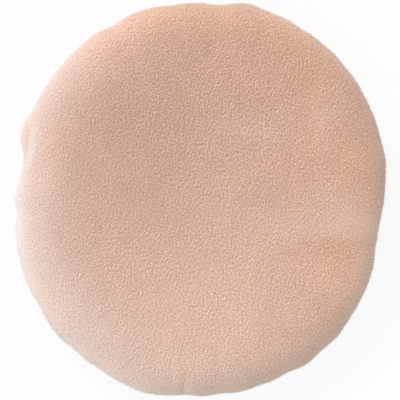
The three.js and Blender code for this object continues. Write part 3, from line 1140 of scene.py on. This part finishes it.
deselect_all()
bpy.ops.mesh.primitive_grid_add(x_subdivisions=RIBBON_STEPS, y_subdivisions=RIBBON_COLUMNS, size=2)
ribbon = name_new("satin_ribbon")
grid = points_of(ribbon)
laid = np.empty_like(grid)
mapped = np.empty((len(grid), 2))
for column in np.unique(grid[:, 1].round(5)):
    on_column = np.abs(grid[:, 1] - column) < 1e-4
    width = float(column) * RIBBON_WIDTH / 2
    line, column_length = even_steps(ribbon_line(width), RIBBON_STEPS + 1)
    step = np.rint((grid[on_column, 0] + 1) / 2 * RIBBON_STEPS).astype(int)
    off_middle = np.full(len(step), width)
    laid[on_column] = np.stack([line[step, 0], off_middle, line[step, 1]], 1)
    mapped[on_column] = np.stack([step / RIBBON_STEPS * column_length, off_middle], 1) / MAP_SPAN
set_points(ribbon, laid * MM)
set_map(ribbon, "ribbon", mapped)
apply_modifier(ribbon, "SOLIDIFY", thickness=RIBBON_THICKNESS * MM, offset=0.0)
apply_modifier(
    ribbon, "BEVEL", width=RIBBON_BEVEL * MM, segments=2, limit_method="ANGLE", angle_limit=math.radians(50)
)
pick(ribbon)
bpy.ops.object.shade_smooth_by_angle(angle=math.radians(40))
dress(ribbon, satin, "satin", "finger_ribbon")


# The sewing threads: the needle's lines, and a thread's two plies, whose radius and distance from its middle
# are shares of its thickness
NEEDLE_LINE = SEAM_GROOVE + NEEDLE_INSET
TACK_LINE = NEEDLE_LINE + TACK_INSET
THREAD_STEP = 0.2
PLY_TWIST = 1.1
PLY_RADIUS = 0.28
PLY_OFFSET = 0.22
# A bend takes up this much of the thread on each side of its corner, or this share of a short stretch
BEND_REACH = 0.25
BEND_SHARE = 0.3
# Any direction that no thread begins along: the first ply starts square to it
PLY_START = [0.0, 0.3, 1.0]


def stitch_top(angle):
    return face_fold(angle) + CLOTH + CLEARANCE + THREAD / 2


def stitch_bottom(angle):
    return back_fold(angle) - CLOTH - CLEARANCE - THREAD / 2


def point_at(angle, inset, height):
    radius = float(back_rim(angle)) - inset
    return [radius * math.cos(angle), radius * math.sin(angle), float(height)]


def running_stitch(first, count, inset):
    start = first * FACET
    points = [point_at(start, inset, stitch_top(start))]
    for i in range(count):
        before, after = (stitch_bottom, stitch_top) if i % 2 else (stitch_top, stitch_bottom)
        angle = (first + i + 0.5) * FACET
        lean = NEEDLE_SLANT / float(back_rim(angle))
        for turn, side in ((-lean, before), (lean, after), (FACET / 2, after)):
            points.append(point_at(angle + turn, inset, side(angle + turn)))
    return np.array(points)


def closing_stitch(first, count):
    points = []
    for i in range(4 * count):
        inset = SEAM_GROOVE + CLOSING_DEPTH if i % 4 < 2 else SEAM_GROOVE - CLEARANCE - THREAD / 2
        rise = CLOSING_RISE if i % 8 < 4 else -CLOSING_RISE
        points.append(point_at((first + (i + 0.5) / 4) * FACET, inset, SEAM_HEIGHT + rise))
    return np.array(points)


def softened(points):
    """Rounds the corners of a thread's path as far as a soft thread bends round the cloth."""
    line = [points[0]]
    for before, corner, after in zip(points, points[1:], points[2:]):
        for other in (before, after):
            reach = np.linalg.norm(other - corner)
            line.append(corner + (other - corner) * min(BEND_SHARE, BEND_REACH / reach))
    line.append(points[-1])
    return np.array(line)


def twisted_thread(name, points, node):
    """Two round plies twisted along a path, as one piece."""
    path = softened(points)
    length = np.linalg.norm(np.diff(path, axis=0), axis=1).cumsum()[-1]
    line, _ = even_steps(path, int(length / THREAD_STEP) + 1)
    along = np.gradient(line, axis=0)
    along /= np.linalg.norm(along, axis=1)[:, None]
    side = np.cross(along[0], PLY_START)
    sides = []
    for direction in along:
        side = side - direction * side.dot(direction)
        side = side / np.linalg.norm(side)
        sides.append(side)
    sides = np.array(sides)
    ups = np.cross(along, sides)
    twist = np.arange(len(line)) * THREAD_STEP / PLY_TWIST * 2 * math.pi
    curve = bpy.data.curves.new(name, "CURVE")
    curve.dimensions = "3D"
    curve.bevel_depth = THREAD * PLY_RADIUS * MM
    curve.bevel_resolution = 1
    curve.use_fill_caps = True
    for start in (0.0, math.pi):
        turn = twist + start
        places = line + THREAD * PLY_OFFSET * (np.cos(turn)[:, None] * sides + np.sin(turn)[:, None] * ups)
        spline = curve.splines.new("POLY")
        spline.points.add(len(places) - 1)
        spline.points.foreach_set("co", np.concatenate([places * MM, np.ones((len(places), 1))], 1).ravel())
    piece = bpy.data.objects.new(name, curve)
    bpy.context.scene.collection.objects.link(piece)
    pick(piece)
    bpy.ops.object.convert(target="MESH")
    piece = bpy.context.object
    bpy.ops.object.mode_set(mode="EDIT")
    bpy.ops.mesh.select_all(action="SELECT")
    bpy.ops.mesh.remove_doubles(threshold=1e-7)
    bpy.ops.mesh.normals_make_consistent(inside=False)
    bpy.ops.object.mode_set(mode="OBJECT")
    bpy.ops.object.shade_smooth()
    dress(piece, spun_thread, "thread", node)


seam_first = CLOSING_FIRST + CLOSING_STITCHES
seam = running_stitch(seam_first, STITCHES - CLOSING_STITCHES, NEEDLE_LINE)
twisted_thread("seam_stitches", seam, "seam_thread")
twisted_thread("closing_stitches", closing_stitch(CLOSING_FIRST, CLOSING_STITCHES), "closing_thread")
right_tack = running_stitch(-TACK_STITCHES // 2, TACK_STITCHES, TACK_LINE)
twisted_thread("right_tack_stitches", right_tack, "ribbon_tack_right")
left_tack = running_stitch(STITCHES // 2 - TACK_STITCHES // 2, TACK_STITCHES, TACK_LINE)
twisted_thread("left_tack_stitches", left_tack, "ribbon_tack_left")


# The stage: a white floor that keeps the puff's shadow, a soft room and three lamps
FLOOR_SIZE = 3.0
PAPER_GREY = 0.9
PAPER_GLOW = 0.9
ROOM_LIGHT = 0.62
deselect_all()
bpy.ops.mesh.primitive_plane_add(size=FLOOR_SIZE)
floor = bpy.context.object
floor.name = "floor"
paper = new_material("white_paper")
light_path = add_node(paper, "LightPath")
matt = add_node(paper, "BsdfDiffuse", {"Color": (PAPER_GREY, PAPER_GREY, PAPER_GREY, 1)})
glow = add_node(paper, "Emission", {"Color": (1, 1, 1, 1), "Strength": 1.0})
seen = add_node(paper, "MixShader", {0: PAPER_GLOW, 1: matt.outputs[0], 2: glow.outputs[0]})
mirrored = add_node(
    paper,
    "Math",
    {0: light_path.outputs["Is Glossy Ray"], 1: light_path.outputs["Is Transmission Ray"]},
    operation="ADD",
)
direct = add_node(
    paper,
    "Math",
    {0: light_path.outputs["Is Camera Ray"], 1: mirrored.outputs[0]},
    operation="ADD",
    use_clamp=True,
)
either = add_node(paper, "MixShader", {0: direct.outputs[0], 1: matt.outputs[0], 2: seen.outputs[0]})
add_node(paper, "OutputMaterial", {"Surface": either.outputs[0]})
floor.data.materials.append(paper)

world = bpy.data.worlds.new("soft_room")
bpy.context.scene.world = world
world.use_nodes = True
world.node_tree.nodes.clear()
room_path = add_node(world, "LightPath")
room_light = add_node(world, "Background", {"Color": (1, 1, 1, 1), "Strength": ROOM_LIGHT})
room_white = add_node(world, "Background", {"Color": (1, 1, 1, 1), "Strength": 1.0})
room = add_node(
    world,
    "MixShader",
    {0: room_path.outputs["Is Camera Ray"], 1: room_light.outputs[0], 2: room_white.outputs[0]},
)
add_node(world, "OutputWorld", {"Surface": room.outputs[0]})


def area_lamp(name, turn, elevation, distance, size, power, colour):
    """A soft lamp aimed at the puff. Turn is the photograph's own: 0 is its right and 90 its top."""
    lamp = bpy.data.lights.new(name, "AREA")
    lamp.shape = "DISK"
    lamp.size = size
    lamp.energy = power
    lamp.color = linear(colour)[:3]
    holder = bpy.data.objects.new(name, lamp)
    bpy.context.scene.collection.objects.link(holder)
    turn = math.radians(turn + ROW_ANGLE)
    lift = math.radians(elevation)
    holder.location = (
        distance * math.cos(lift) * math.cos(turn),
        distance * math.cos(lift) * math.sin(turn),
        distance * math.sin(lift),
    )
    holder.rotation_euler = (math.pi / 2 - lift, 0, turn + math.pi / 2)


# A cool lamp from the left, a warm one from above and a faint green bounce from low down
area_lamp("left_softbox", 195, 12, 0.7, 0.35, 3.2, "#C4E6FF")
area_lamp("top_softbox", 120, 45, 0.7, 0.35, 2.2, "#FFE9D8")
area_lamp("low_bounce", 272, 2, 0.7, 0.2, 0.38, "#BCEE98")

# The lens, the width that it sees at the height of the field, and where that view is centred
LENS = 200.0
SENSOR = 36.0
FIELD = 82.5
FIELD_HEIGHT = 7.0
VIEW_CENTRE = (0.04, -0.23)
lens = bpy.data.cameras.new("camera")
lens.lens = LENS
lens.sensor_width = SENSOR
camera = bpy.data.objects.new("camera", lens)
bpy.context.scene.collection.objects.link(camera)
camera_height = FIELD * LENS / SENSOR + FIELD_HEIGHT
camera.location = (VIEW_CENTRE[0] * MM, VIEW_CENTRE[1] * MM, camera_height * MM)
camera.rotation_euler = (0, 0, math.radians(ROW_ANGLE))
bpy.context.scene.camera = camera
bpy.context.scene.view_settings.view_transform = "Standard"
